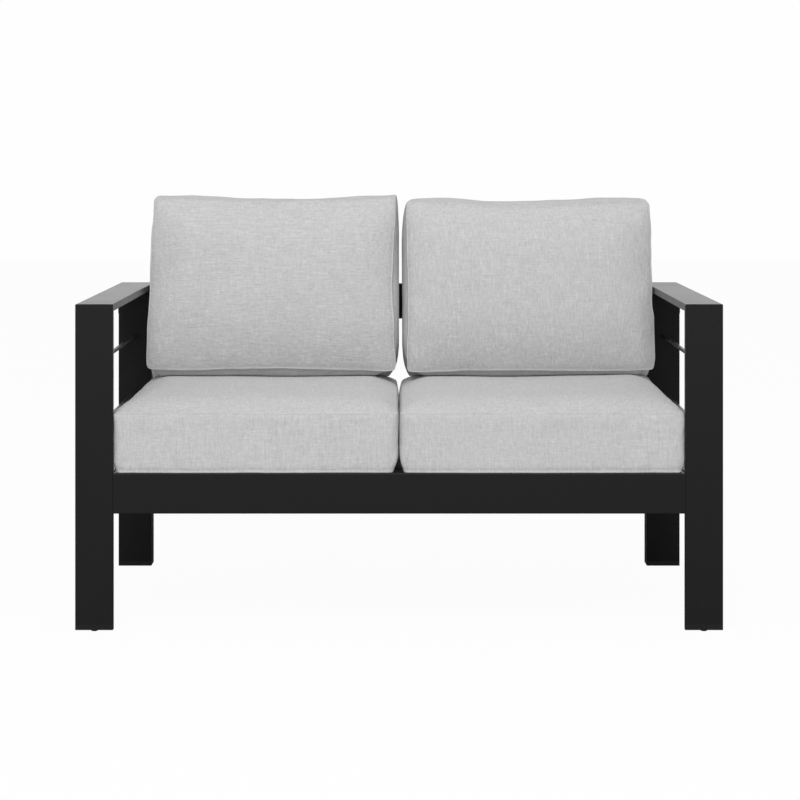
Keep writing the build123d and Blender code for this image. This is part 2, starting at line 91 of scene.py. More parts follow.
# %% [markdown]
# ## Shader maths as plain expressions
# A finish is a small network of nodes. Wiring each Math node by hand hides what it works out,
# so a wrapped socket lets `1 - mask * 0.4` add those nodes by itself, and `a | b` gives the
# larger of two numbers. Colours and vectors go through Mix and Vector Math nodes, because a
# Math node would turn a colour grey. One method makes every node from its type, its settings
# and what goes into its sockets.

# %% Wrap a socket
class Wire:
    """What comes out of a shader node, with the sums of numbers as operators."""

    def __init__(self, nodes, socket):
        self.nodes = nodes
        self.socket = socket

    def _math(self, operation, first, second=0.0):
        return self.nodes.node("Math", {"operation": operation}, n0=first, n1=second)

    def __add__(self, other):
        return self._math("ADD", self, other)

    def __radd__(self, other):
        return self._math("ADD", other, self)

    def __sub__(self, other):
        return self._math("SUBTRACT", self, other)

    def __rsub__(self, other):
        return self._math("SUBTRACT", other, self)

    def __mul__(self, other):
        return self._math("MULTIPLY", self, other)

    def __or__(self, other):
        return self._math("MAXIMUM", self, other)

    def __abs__(self):
        return self._math("ABSOLUTE", self)


# %% Build a tree of nodes
class Nodes:
    """A tree of shader nodes, of a material or of the world."""

    def __init__(self, tree, output_kind):
        self.tree = tree
        self.tree.nodes.clear()
        self.output = self.tree.nodes.new(output_kind)

    def node(self, kind, settings=None, output=0, **values):
        """Add a node: its type, its settings, which output to give, and its sockets' values.

        A socket goes by its label, with an underscore for a space, or by n and its number.
        """
        node = self.tree.nodes.new("ShaderNode" + kind)
        for key, value in (settings or {}).items():
            setattr(node, key, value)
        for name, value in values.items():
            numbered = name[0] == "n" and name[1:].isdigit()
            place = int(name[1:]) if numbered else name.replace("_", " ")
            self.feed(node.inputs[place], value)
        return Wire(self, node.outputs[output])

    def feed(self, socket, value):
        """Link a wire to a socket, or set the socket's own value."""
        if isinstance(value, Wire):
            self.tree.links.new(value.socket, socket)
        else:
            socket.default_value = value

    def show(self, surface):
        """Let a shader be the surface."""
        self.feed(self.output.inputs["Surface"], surface)


# %% Make a finish
class Finish(Nodes):
    """One material, made of nodes, with a Principled shader at its end."""

    def __init__(self, name, **surface):
        self.material = bpy.data.materials.new(name)
        self.material.use_nodes = True
        super().__init__(self.material.node_tree, "ShaderNodeOutputMaterial")
        self.shader = self.node("BsdfPrincipled")
        self.show(self.shader)
        self.set(**surface)

    def set(self, **surface):
        """Give the Principled shader's own sockets a value or a wire."""
        for name, value in surface.items():
            self.feed(self.shader.socket.node.inputs[name.replace("_", " ")], value)

    def place(self, stretch=(1, 1, 1)):
        """The point on the object, stretched along each axis."""
        point = self.node("TexCoord", output="Object")
        return self.node("VectorMath", {"operation": "MULTIPLY"}, n0=point, n1=stretch)

    def grain(self, scale, stretch=(1, 1, 1), detail=2.0):
        """Soft random grain around 0.5, at a scale in cycles per metre."""
        return self.node("TexNoise", Vector=self.place(stretch), Scale=scale, Detail=detail,
                         Roughness=0.5)

    def ramp(self, value, low, high):
        """0 below low and 1 above high."""
        return self.node("MapRange", {"interpolation_type": "SMOOTHSTEP"}, n0=value, n1=low,
                         n2=high)

    def dot(self, first, second):
        """How far two directions agree: 1 the same way, 0 square to each other."""
        return self.node("VectorMath", {"operation": "DOT_PRODUCT"}, output="Value", n0=first,
                         n1=second)

    def tint(self, share, dark, light):
        """A grey between two greys given as numbers."""
        return self.node("Mix", {"data_type": "RGBA"}, output=2, n0=share, n6=grey(dark),
                         n7=grey(light))

    def bump(self, height, distance):
        """Turn a height into a surface direction, and give it to the shader."""
        self.set(Normal=self.node("Bump", Height=height, Distance=distance, Strength=1.0))


def grey(level):
    """A plain grey as a colour."""
    return (level, level, level, 1.0)


print("shader helpers ready")

# %% [markdown]
# ## The powder coat
# The tubes are dipped in black powder that melts into a skin with a fine, even grain. It is
# dull seen straight on, and bright where one looks along it, as on the arm tops. A low specular
# level with a fairly low roughness does both. The grain is a very small bump, with a second,
# wider one for the slight orange peel, and the edges get a hair lighter where hands and clothes
# rub.

# %% Black powder coat
EDGE_RUB = (0.02, 0.3)
POWDER_GRAIN, ORANGE_PEEL, POWDER_CLOUDS, POWDER_WEAR = 1500.0, 190.0, 6.0, 60.0
POWDER_BLACK = (0.0152, 0.0295)
POWDER_ROUGHNESS = 0.19


def edge_rub(finish, radius):
    """1 along sharp edges and 0 on flat faces, from a bevel's turned direction."""
    rounded = finish.node("Bevel", {"samples": 6}, Radius=radius)
    plain = finish.node("NewGeometry", output="Normal")
    return finish.ramp(1 - finish.dot(rounded, plain), *EDGE_RUB)


def powder_coat():
    """Fine-textured black powder coat."""
    finish = Finish("black_powder_coat", IOR=1.5, Specular_IOR_Level=0.15)
    fine = finish.grain(POWDER_GRAIN, detail=3.0)
    peel = finish.grain(ORANGE_PEEL, detail=1.0)
    cloudy = finish.grain(POWDER_CLOUDS, detail=2.0)
    worn = finish.ramp(finish.grain(POWDER_WEAR, detail=3.0), 0.45, 0.7)
    rub = edge_rub(finish, 0.0025) * worn
    finish.set(Base_Color=finish.tint(rub * 0.5 + fine * 0.25, *POWDER_BLACK),
               Roughness=POWDER_ROUGHNESS + cloudy * 0.08 + fine * 0.06 + rub * 0.1)
    finish.bump(fine * 0.35 + peel, 0.00012)
    return finish.material


finishes = {"powder_coat": powder_coat()}
print(finishes["powder_coat"].name)

# %% [markdown]
# ## Moulded plastic
# Caps, plugs and glides are black nylon from a spark-eroded mould: a tight matt grain with no
# peel. The glides are scuffed where they meet the ground, so they get paler scratches that run
# round them.

# %% Matt plastic for caps, plugs and glides
SPARK_GRAIN, SCUFF_GRAIN = 2600.0, 420.0
SCUFF_SQUEEZE = (1, 1, 5)


def moulded_plastic(name, level, scuff):
    """Matt moulded plastic with a spark-eroded grain and light scuffs."""
    finish = Finish(name, IOR=1.49, Specular_IOR_Level=0.35)
    pits = finish.grain(SPARK_GRAIN)
    scratches = finish.grain(SCUFF_GRAIN, SCUFF_SQUEEZE, detail=4.0)
    marks = finish.ramp(scratches, 0.6, 0.72) * scuff
    rub = edge_rub(finish, 0.001)
    finish.set(Base_Color=finish.tint(marks + rub * 0.4, level, level * 4),
               Roughness=0.52 + pits * 0.12 + marks * 0.1)
    finish.bump(pits - marks * 0.5, 0.00008)
    return finish.material


finishes["plastic"] = moulded_plastic("cap_plastic", 0.011, 0.15)
finishes["glide"] = moulded_plastic("glide_nylon", 0.013, 0.6)
print(finishes["plastic"].name, "and", finishes["glide"].name)

# %% [markdown]
# ## Metal fittings
# Bolts and washers are zinc-plated steel, the bushes are turned steel, and the zip sliders are
# lacquered castings. Plating is bright with cloudy patches. Fine lines round each turned piece
# come from a noise that is squeezed along one axis.

# %% Plated steel, turned steel and lacquered castings
TURNING_LINES, PLATING_CLOUDS, LACQUER_GRAIN = 900.0, 160.0, 900.0


def plated_steel(name, level, stretch):
    """Steel with fine lines and cloudy plating."""
    finish = Finish(name, Metallic=1.0)
    lines = finish.grain(TURNING_LINES, stretch, detail=3.0)
    cloud = finish.grain(PLATING_CLOUDS, detail=3.0)
    finish.set(Base_Color=finish.tint(cloud * 0.7 + lines * 0.3, level * 0.72, level * 1.15),
               Roughness=0.26 + cloud * 0.16 + lines * 0.08)
    finish.bump(lines, 0.00003)
    return finish.material


def lacquered_casting():
    """A small grey-lacquered casting, worn bright on its edges."""
    finish = Finish("grey_lacquer", IOR=1.5, Coat_Roughness=0.25)
    rub = edge_rub(finish, 0.0004)
    dull = finish.grain(LACQUER_GRAIN)
    finish.set(Base_Color=finish.tint(rub * 0.8 + dull * 0.1, 0.3, 0.62), Metallic=rub * 0.8,
               Roughness=0.36 + dull * 0.12, Coat_Weight=0.25 - rub * 0.2)
    finish.bump(dull, 0.00002)
    return finish.material


finishes["steel"] = plated_steel("zinc_plated_steel", 0.56, (1, 0.2, 0.2))
finishes["bush"] = plated_steel("turned_steel", 0.5, (0.15, 1, 1))
finishes["zip_slider"] = lacquered_casting()
print([finishes[slot].name for slot in ("steel", "bush", "zip_slider")])

# %% [markdown]
# ## The zip
# A coil zip is a woven tape with a spiral of nylon teeth along its middle. The teeth are too
# small to model one by one, so bands across the ridge lift and darken it, and a finer rib
# covers the tape. The bands run along the object's X axis, as the zips do.

# %% Zip tape and teeth
TEETH, TAPE_RIB = 260.0, 1400.0


def zip_tape():
    """Grey zip tape with a ribbed weave and coil teeth."""
    finish = Finish("zip_tape_and_teeth", Roughness=0.7, Sheen_Weight=0.1)
    teeth = finish.node("TexWave", {"wave_type": "BANDS", "bands_direction": "X"},
                        output="Fac", Vector=finish.place(), Scale=TEETH, Distortion=0.2)
    rib = finish.grain(TAPE_RIB, (1, 0.2, 0.2))
    finish.set(Base_Color=finish.tint(teeth * 0.45 + rib * 0.55, 0.34, 0.5))
    finish.bump(teeth * 0.7 + rib * 0.3, 0.0003)
    return finish.material


finishes["zip"] = zip_tape()
print(finishes["zip"].name)

# %% [markdown]
# ## The cushion fabric
# The covers are a light grey woven polyester made to look like linen. Its yarns are uneven, so
# long pale and dark slubs run both ways over a fine crossing weave. Each slub is a noise that
# is squeezed across its yarn and stretched along it. Which yarns show depends on which way the
# cloth faces: X and Y on the two panels, X and Z on the near and far ends of the band, Y and Z
# on its left and right sides. That is read from the surface, so the weave needs no unwrapping.

# %% Linen-look weave
YARN_SCALE, YARN_STRETCH = 310.0, 0.3
SLUB_SCALE, SLUB_STRETCH = 300.0, 0.09
CLOTH_CLOUDS = 9.0
BOLD_SLUBS = (0.62, 0.76)
WEFT_GAIN, WARP_GAIN, TURN_GAIN = 1.1, 0.75, 0.35


def panel_share(finish, axis):
    """1 where the cloth faces along an axis of its cushion, and 0 elsewhere."""
    facing = finish.dot(finish.node("TexCoord", output="Normal"), axis)
    return finish.ramp(abs(facing), 0.6, 0.8)


def yarns(finish, scale, along, detail):
    """Uneven yarns along X, Y and Z, each as a number around 0.5."""
    stretches = [[along if axis == run else 1.0 for axis in range(3)] for run in range(3)]
    return [finish.grain(scale, tuple(stretch), detail) for stretch in stretches]


def linen(name, level):
    """Light grey linen-look weave with slubs both ways."""
    finish = Finish(name, Roughness=0.9, IOR=1.4, Specular_IOR_Level=0.25, Sheen_Weight=0.12,
                    Sheen_Roughness=0.5)
    on_side = panel_share(finish, (1, 0, 0))
    on_face = panel_share(finish, (0, 0, 1))
    on_band_end = (1 - on_face) * (1 - on_side)
    turn = finish.node("Attribute", {"attribute_name": "yarn_turn"}, output="Fac")
    weft_gain, warp_gain = WEFT_GAIN - turn * TURN_GAIN, WARP_GAIN + turn * TURN_GAIN

    def crossed(along_x, along_y, along_z):
        """Weft and warp together, for the way the panel faces."""
        weft = along_x + (along_z - along_x) * on_side - 0.5
        warp = along_y + (along_z - along_y) * on_band_end - 0.5
        return weft * weft_gain + warp * warp_gain

    fine = crossed(*yarns(finish, YARN_SCALE, YARN_STRETCH, 2.0))
    slub_x, slub_y, slub_z = yarns(finish, SLUB_SCALE, SLUB_STRETCH, 1.0)
    slub = crossed(slub_x, slub_y, slub_z)
    bold = (finish.ramp(slub_x, *BOLD_SLUBS) * weft_gain
            + finish.ramp(slub_y, *BOLD_SLUBS) * warp_gain)
    cloudy = finish.grain(CLOTH_CLOUDS, detail=3.0) - 0.5
    # Painted shade and highlights kept on the mesh: darker in seam valleys and seam lines, low
    # on each back and on the right back's rolled side, lighter on seam ridges.
    painted_light = finish.node("Attribute", {"attribute_name": "painted_light_and_shade"}, output="Fac")
    pattern = fine * 0.6 + slub * 0.4 + bold * 0.12 + cloudy * 0.1 - 0.01
    share = finish.node("Clamp", Value=0.5 + pattern - painted_light)
    finish.set(Base_Color=finish.tint(share, level * 0.76, level * 1.24))
    finish.bump(fine + slub * 0.6, 0.0006)
    return finish.material


fabric = linen("grey_linen", 0.56)
finishes["cushion_fabric"] = finishes["foam"] = fabric
print(fabric.name)

# %% [markdown]
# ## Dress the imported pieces
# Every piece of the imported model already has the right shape, so it keeps its mesh and only
# gets the finish of its slot.

# %% Give each piece the finish of its slot
for part in frame["record"]["subparts"]:
    mesh = frame["nodes"][part["node"]].data
    mesh.materials.clear()
    mesh.materials.append(finishes[part["material_slot"]])

# %% [markdown]
# ## The shape of a boxed cushion
# A boxed cushion has two panels, a back one and a face, joined by a band. Where a panel meets
# the band, a seam pulls the cloth in; between the seams the foam pushes it out. So each cushion
# is drawn as three outlines: its back seam, the middle of its band and its face seam. An
# outline has four sides, given by how far out they are at even steps, and four rounded corners,
# from near left round to far left. The outlines between them are blends of the three.
#
# The face rises from its seam to a crown, within its own reach from each side: left, right,
# near and far. The higher the power, the steeper it starts. It can stand a little fuller
# towards the left or the right, and the foot of a back cushion can press it in, most of all at
# `FOOT_SHARE` of its length. A cushion is made lying on its back panel, with its near end at
# Y = 0, and then put in its place.

# %% Outlines of the cushions, in millimetres
MM = 0.001
LEFT_SEAT = {
    "band": 117, "crown": 24, "reach": (90, 90, 140, 90), "power": (7.5, 6.0, 3.2, 6.0),
    "fuller": (0.8, 0), "pressed": 4,
    "outlines": (
        {"left": (-558, -557, -557, -557, -558), "right": (-12, -10.5, -9.5, -9, -10),
         "near": (3, 1.5, 1.5, 1.5, 3.5), "far": (624, 623, 623, 623, 624),
         "corners": (8, 11, 14, 14)},
        {"left": (-573, -569, -568, -568, -568), "right": (3,) * 5,
         "near": (0.6, 0, 0, 0, 0.6), "far": (629, 630, 630, 630, 629),
         "corners": (4, 8, 18, 18)},
        {"left": (-567, -564, -563, -563, -563.5), "right": (-2, -4, -4.5, -5, -6),
         "near": (1.5, 1.5, 1.5, 1.5, 2.5), "far": (627, 626, 626, 626, 627),
         "corners": (3, 6, 9, 9)},
    ),
}
RIGHT_SEAT = {
    "band": 117, "crown": 24, "reach": (90, 90, 140, 90), "power": (6.0, 7.5, 3.2, 6.0),
    "fuller": (0, 6.5), "pressed": 4,
    "outlines": (
        {"left": (10, 9, 9.5, 10.5, 12), "right": (558, 557, 557, 557, 558),
         "near": (3.5, 1.5, 1.5, 1.5, 3), "far": (624, 623, 623, 623, 624),
         "corners": (11, 9, 14, 14)},
        {"left": (-3,) * 5, "right": (576, 573, 570, 569, 568),
         "near": (0.6, 0, 0, 0, 0.6), "far": (629, 630, 630, 630, 629),
         "corners": (8, 4, 18, 18)},
        {"left": (2, 4, 4.5, 5, 6), "right": (565, 564, 563, 563, 563.5),
         "near": (2.5, 1.5, 1.5, 1.5, 2.5), "far": (627, 626, 626, 626, 627),
         "corners": (6, 9, 9, 9)},
    ),
}
LEFT_BACK = {
    "band": 120, "crown": 31, "reach": (85, 90, 220, 100), "power": (2.6, 2.6, 2.2, 2.6),
    "fuller": (0, 0), "pressed": 0,
    "outlines": (
        {"left": (-557, -557, -556, -554, -551, -545),
         "right": (-15.5, -10, -10, -10, -10, -12),
         "near": (8, 10, 12, 12, 15), "far": (407, 407, 404, 403, 404, 407, 408),
         "corners": (13, 31, 8, 8)},
        {"left": (-560, -560.5, -557.5, -557, -555.5, -550.5),
         "right": (-3.5, 3, 2.4, 1.8, 2, 0), "near": (2, 0, 0, 0, 2),
         "far": (420, 420.3, 414.8, 413.6, 413.4, 419.2, 421.5), "corners": (40, 70, 5, 9)},
        {"left": (-556, -557.3, -553.4, -553, -551.4, -550.2),
         "right": (-7.5, -12, -16.3, -15.5, -11, -7.5), "near": (20, 20.5, 22, 20.4, 15),
         "far": (404.3, 402.2, 399.7, 397.9, 399.5, 400.9, 407.9), "corners": (11, 12, 4, 8)},
    ),
}
RIGHT_BACK = {
    "band": 120, "crown": 31, "reach": (90, 85, 220, 100), "power": (2.6, 2.6, 2.2, 2.6),
    "fuller": (0, 0), "pressed": 0,
    "outlines": (
        {"left": (16.5, 13, 13, 13, 13, 16), "right": (556, 558, 556, 556, 555, 553),
         "near": (15, 12, 12, 12, 14), "far": (407, 407, 404, 402, 404, 407, 407),
         "corners": (29, 22, 9, 9)},
        {"left": (9, 4.2, 4.2, 4.8, 5.4, 10), "right": (568, 568, 567, 563.5, 563.5, 562),
         "near": (2, 0, 0, 0, 2), "far": (411.8, 414.6, 408.8, 408.2, 410.2, 415.2, 412.4),
         "corners": (62, 60, 12, 20)},
        {"left": (16.5, 19, 20, 18.7, 18.3, 16.5),
         "right": (561, 565, 560.8, 561.5, 562, 560.5),
         "near": (12.5, 18, 18.5, 17, 18), "far": (397, 393, 388, 385.8, 389, 392.5, 395),
         "corners": (10, 8, 7, 8)},
    ),
}
FORMS = {("left", "seat"): LEFT_SEAT, ("right", "seat"): RIGHT_SEAT,
         ("left", "back"): LEFT_BACK, ("right", "back"): RIGHT_BACK}
SLACK = 0.005
print("forms:", [" ".join(name) for name in FORMS])


# %% Steps between the seams
SEAM_STEPS = (0.0, 0.0025, 0.006, 0.011, 0.018)
CLOTH_STEP = 0.0105


def spread(length):
    """Shares of a length, close together near the seams at its two ends."""
    middle = length - 2 * SEAM_STEPS[-1]
    count = max(2, round(middle / CLOTH_STEP))
    inner = [SEAM_STEPS[-1] + middle * step / count for step in range(1, count)]
    outer = [length - step for step in reversed(SEAM_STEPS)]
    return np.array([*SEAM_STEPS, *inner, *outer]) / length


def between(values, shares):
    """Read a table of even steps at shares of its length, on a smooth curve."""
    values = np.array(values, dtype=float)
    slopes = np.gradient(values)
    place = np.clip(shares, 0, 1) * (len(values) - 1)
    start = np.minimum(place.astype(int), len(values) - 2)
    part = place - start
    return ((2 * part**3 - 3 * part**2 + 1) * values[start]
            + (part**3 - 2 * part**2 + part) * slopes[start]
            + (3 * part**2 - 2 * part**3) * values[start + 1]
            + (part**3 - part**2) * slopes[start + 1])


def resample(points, shares):
    """Points at the given shares of a line's length."""
    steps = np.hypot(*np.diff(points, axis=0).T)
    along = np.concatenate([[0], np.cumsum(steps)]) / steps.sum()
    return np.stack([np.interp(shares, along, points[:, axis]) for axis in (0, 1)], axis=1)


print("seat grid", len(spread(0.564)), "by", len(spread(0.63)))


# %% One side of an outline, from the middle of one corner to the middle of the next
CORNER_POINTS, SIDE_POINTS, TABLE_POINTS = 9, 42, 25
BACK_SEAM_FADE, FACE_SEAM_FADE, CORNER_FADE = 0.27, 0.22, 0.7


def side_line(table, start, end, radii, inward):
    """Distances along a side, and how far out it is there, with both corners rounded."""
    turn = np.radians(np.linspace(45, 0, CORNER_POINTS))
    first = start + radii[0] * (1 - np.sin(turn))
    last = end - radii[1] * (1 - np.sin(turn))
    straight = np.linspace(first[-1], last[-1], SIDE_POINTS)[1:-1]
    along = np.concatenate([first, straight, last[::-1]])
    out = between(table, (along - start) / (end - start))
    for distance, radius in ((along - start, radii[0]), (end - along, radii[1])):
        inside = np.maximum(radius - distance, 0)
        out = out + inward * (radius - np.sqrt(radius**2 - inside**2))
    return along, out


def level_sides(form, share, across, down):
    """The four sides of the outline at a share of the band's height."""
    face = max(0.0, (share - (1 - FACE_SEAM_FADE)) / FACE_SEAM_FADE) ** 2
    back_of_sides = max(0.0, 1 - share / BACK_SEAM_FADE) ** 2
    back_of_corners = max(0.0, 1 - share / CORNER_FADE)
    for_sides, for_corners = ((back, 1 - back - face, face)
                              for back in (back_of_sides, back_of_corners))
    steps = np.linspace(0, 1, TABLE_POINTS)
    slack = SLACK * (1 - abs(2 * share - 1) ** 4)
    side = {}
    for name, pull in (("left", slack), ("right", -slack), ("near", slack), ("far", -slack)):
        tables = [between(outline[name], steps) for outline in form["outlines"]]
        side[name] = pull + MM * sum(weight * table for weight, table in zip(for_sides, tables))
    near_left, near_right, far_right, far_left = MM * sum(
        weight * np.array(outline["corners"])
        for weight, outline in zip(for_corners, form["outlines"]))
    near, far = side["near"][[0, -1]], side["far"][[0, -1]]
    left_y, left_x = side_line(side["left"], near[0], far[0], (near_left, far_left), 1)
    right_y, right_x = side_line(side["right"], near[1], far[1], (near_right, far_right), -1)
    near_x, near_y = side_line(side["near"], side["left"][0], side["right"][0],
                               (near_left, near_right), 1)
    far_x, far_y = side_line(side["far"], side["left"][-1], side["right"][-1],
                             (far_left, far_right), -1)
    near_side, far_side = np.stack([near_x, near_y], 1), np.stack([far_x, far_y], 1)
    left_side, right_side = np.stack([left_x, left_y], 1), np.stack([right_x, right_y], 1)
    near_side[0], near_side[-1] = left_side[0], right_side[0]
    far_side[0], far_side[-1] = left_side[-1], right_side[-1]
    return (resample(near_side, across), resample(right_side, down),
            resample(far_side, across), resample(left_side, down))


print("points on each side:", [len(side) for side in
                               level_sides(LEFT_BACK, 0.5, spread(0.54), spread(0.38))])


# %% Fill a panel, and raise the face to its crown
def coons(near, right, far, left, across, down):
    """Fill a panel between its four sides."""
    u, v = across[None, :, None], down[:, None, None]
    ruled = (1 - v) * near[None] + v * far[None] + (1 - u) * left[:, None] + u * right[:, None]
    corners = ((1 - u) * (1 - v) * near[0] + u * (1 - v) * near[-1]
               + (1 - u) * v * far[0] + u * v * far[-1])
    return ruled - corners


def crown_rise(distance, reach, power=2.6):
    """Share of the crown's height at a distance from the seam."""
    return 1 - np.clip(1 - distance / reach, 0, 1) ** power


print("crown 20 mm from a seam:", round(float(crown_rise(0.02, 0.09)), 2))


# %% Read and write all the points of a mesh
def get_points(mesh):
    """All points of a mesh as an array."""
    points = np.zeros(len(mesh.vertices) * 3)
    mesh.vertices.foreach_get("co", points)
    return points.reshape(-1, 3)


def set_points(mesh, points):
    """Put an array back as a mesh's points."""
    mesh.vertices.foreach_set("co", points.reshape(-1))
    mesh.update()


def get_normals(mesh):
    """The direction out of the surface at each point."""
    normals = np.zeros(len(mesh.vertices) * 3)
    mesh.vertices.foreach_get("normal", normals)
    return normals.reshape(-1, 3)


def get_values(mesh, name):
    """A named value at each point."""
    values = np.zeros(len(mesh.vertices))
    mesh.attributes[name].data.foreach_get("value", values)
    return values


def set_values(mesh, name, values):
    """Keep a value at each point under a name."""
    mesh.attributes.new(name, "FLOAT", "POINT").data.foreach_set("value", values)


def world_points(piece):
    """All points of a piece, where they stand."""
    place = np.array(piece.matrix_world)
    return get_points(piece.data) @ place[:3, :3].T + place[:3, 3]


def set_world_points(piece, points):
    """Move a piece's points to where they should stand."""
    place = np.array(piece.matrix_world)
    set_points(piece.data, (points - place[:3, 3]) @ place[:3, :3])


print("mesh helpers ready")


# %% Build the closed cushion mesh
FOOT_SHARE, FOOT_REACH = 0.85, 0.16
SAME_POINT = 1e-6


def add_sheet(vertices, faces, marks, points, distances, flip):
    """Add a grid of points as quads, with each point's distance from the nearest seam."""
    rows, columns, _ = points.shape
    first = len(vertices)
    vertices.extend(points.reshape(-1, 3).tolist())
    marks.extend(distances.reshape(-1).tolist())
    for row in range(rows - 1):
        for column in range(columns - 1):
            start = first + row * columns + column
            quad = [start, start + 1, start + columns + 1, start + columns]
            faces.append(quad[::-1] if flip else quad)


def shape_face(vertices, form):
    """Let the face stand fuller towards a side, and press it in under a foot."""
    u, v, height = ((vertices - vertices.min(0)) / np.ptp(vertices, axis=0)).T
    left_fuller, right_fuller = form["fuller"]
    fuller = left_fuller * (1 - u)**3 + right_fuller * u**3
    hollow = np.sin(math.pi * u) * np.exp(-((v - FOOT_SHARE) / FOOT_REACH)**2)
    vertices[:, 2] += MM * height * np.sqrt(v) * fuller
    vertices[:, 2] -= MM * form["pressed"] * height * hollow


def close_mesh(mesh):
    """Join the sheets along the seams, with every quad facing out."""
    work = bmesh.new()
    work.from_mesh(mesh)
    bmesh.ops.remove_doubles(work, verts=work.verts, dist=SAME_POINT)
    bmesh.ops.recalc_face_normals(work, faces=work.faces)
    work.to_mesh(mesh)
    work.free()


def cushion_mesh(name, form):
    """A boxed cushion as one closed mesh, lying on its back panel."""
    face = form["outlines"][-1]
    width = MM * (face["right"][2] - face["left"][2])
    length = MM * (face["far"][2] - face["near"][2])
    band, crown = MM * form["band"], MM * form["crown"] - SLACK
    across, down, up = spread(width), spread(length), spread(band)
    from_sides = (across * width, (1 - across) * width)
    from_ends = (down * length, (1 - down) * length)
    panel_marks = np.minimum(np.min(from_sides, axis=0)[None, :],
                             np.min(from_ends, axis=0)[:, None])
    rises = [crown_rise(distance, MM * reach, power) for distance, reach, power
             in zip((*from_sides, *from_ends), form["reach"], form["power"])]
    rise = (rises[0] * rises[1])[None, :] * (rises[2] * rises[3])[:, None]
    vertices, faces, marks = [], [], []
    for share, height, flip in ((0.0, 0.0, True), (1.0, crown, False)):
        flat = coons(*level_sides(form, share, across, down), across, down)
        level = share * band + height * rise
        add_sheet(vertices, faces, marks, np.dstack([flat, level]), panel_marks, flip)
    levels = [level_sides(form, share, across, down) for share in up]
    from_seam = np.minimum(up, 1 - up) * band
    for side, flip in ((0, False), (1, False), (2, True), (3, True)):
        rows = np.array([sides[side] for sides in levels])
        heights = np.repeat((up * band)[:, None, None], rows.shape[1], axis=1)
        distances = np.repeat(from_seam[:, None], rows.shape[1], axis=1)
        add_sheet(vertices, faces, marks, np.dstack([rows, heights]), distances, flip)
    vertices = np.array(vertices)
    on_face = vertices[:, 2] > band / 2
    shape_face(vertices, form)
    mesh = bpy.data.meshes.new(name)
    mesh.from_pydata(vertices.tolist(), [], faces)
    set_values(mesh, "from_seam", marks)
    set_values(mesh, "face_side", on_face.astype(float))
    close_mesh(mesh)
    return mesh


trial = cushion_mesh("trial", LEFT_SEAT)
print("seat cushion mesh:", len(trial.vertices), "points,", len(trial.polygons), "quads")
bpy.data.meshes.remove(trial)

# %% [markdown]
# ## Filling the cover
# The foam is a little larger than its cover, so it presses the cloth out until the seams hold
# it. Blender's Cloth does this with a pressure inside the closed mesh and no gravity, and the
# seams are pinned, as thread doesn't give. Each point's way is then eased towards a cap, so the
# panels fill out and pull in beside the seams without turning into a balloon.

# %% Blow the cover up with cloth simulation
AIR_STEPS = 20
PLUMP = 14.0
MOST_MOVEMENT = SLACK
STITCH_WIDTH = 0.002


def fill_cover(cushion):
    """Run the cloth simulation and keep its result, with each point's way eased to a cap."""
    scene = bpy.context.scene
    start = get_points(cushion.data)
    held = get_values(cushion.data, "from_seam") < STITCH_WIDTH
    stitches = cushion.vertex_groups.new(name="stitches")
    stitches.add(np.flatnonzero(held).tolist(), 1.0, "REPLACE")
    air = cushion.modifiers.new("air", "CLOTH")
    cloth = air.settings
    cloth.quality = 5
    cloth.tension_stiffness = cloth.compression_stiffness = 12
    cloth.bending_stiffness = 1
    cloth.vertex_group_mass = stitches.name
    cloth.use_pressure = True
    cloth.uniform_pressure_force = PLUMP
    cloth.effector_weights.gravity = 0
    air.point_cache.frame_end = AIR_STEPS
    for step in range(1, AIR_STEPS + 1):
        scene.frame_set(step)
    settled = cushion.evaluated_get(bpy.context.evaluated_depsgraph_get())
    way = get_points(settled.data) - start
    length = np.maximum(np.linalg.norm(way, axis=1), 1e-9)
    cushion.modifiers.remove(air)
    cushion.vertex_groups.remove(stitches)
    scene.frame_set(1)
    eased = MOST_MOVEMENT * np.tanh(length / MOST_MOVEMENT)
    set_points(cushion.data, start + way * (eased / length)[:, None])
    print(f"{cushion.name}: cloth moved {1000 * length.mean():.1f} mm on average, "
          f"{1000 * length.max():.1f} mm at most, kept {1000 * eased.mean():.1f} mm")


print("a cover takes", AIR_STEPS, "steps to fill, and moves", MOST_MOVEMENT, "m at most")

# %% [markdown]
# ## Seams and puckers
# Each seam is turned inside out when it is sewn, so a narrow ridge of folded cloth stands up
# with a valley beside it, and the stitches gather the cloth into short puckers. Both come after
# the simulation, because they are finer than its mesh. A seam that is pulled flat, as at the
# top edge of each cushion, shows as a thin painted dark line only. The ridges get a painted
# highlight and the valleys painted shade. The lower part of a back and the side of the right
# back that rolls under at its foot get painted shade as well. All of this is kept on the mesh
# as a named value that the fabric finish reads.

# %% Ridges, valleys, puckers, soft waves and painted shade
SEAM_AT = (0.0, 0.0012, 0.0028, 0.0045, 0.0065, 0.012)
# Each seam's height, and its shade painted into the cloth: a negative shade is a painted
# highlight on a ridge, a positive one is painted shade in a valley or along a seam line.
SEAMS = {
    "ridged": {"height": (0.0021, 0.0012, -0.0009, -0.0007, -0.0003, 0.0),
               "shade": (-0.2, -0.12, 0.48, 0.2, 0.07, 0.0)},
    "flat": {"height": (-0.0006, -0.0003, 0.0, 0.0, 0.0, 0.0),
             "shade": (0.34, 0.14, 0.04, 0.0, 0.0, 0.0)},
    "rolled": {"height": (0.0008, 0.0009, 0.0008, 0.0002, -0.0008, 0.0),
               "shade": (-0.2, -0.2, -0.18, 0.0, 0.34, 0.0)},
}
SEAM_KINDS = {"seat": ("rolled", "flat"), "back": ("ridged", "ridged")}
BACK_LENGTH, TOP_POWER = 0.41, 10
PUCKER, PUCKER_SIZE, PUCKER_REACH = 0.0009, 0.011, 0.014
TUG = {"seat": 0.0012, "back": 0.003}
TUG_SIZE, TUG_REACH = 0.04, 0.035
WAVE, WAVE_SIZE = 0.0018, 0.14
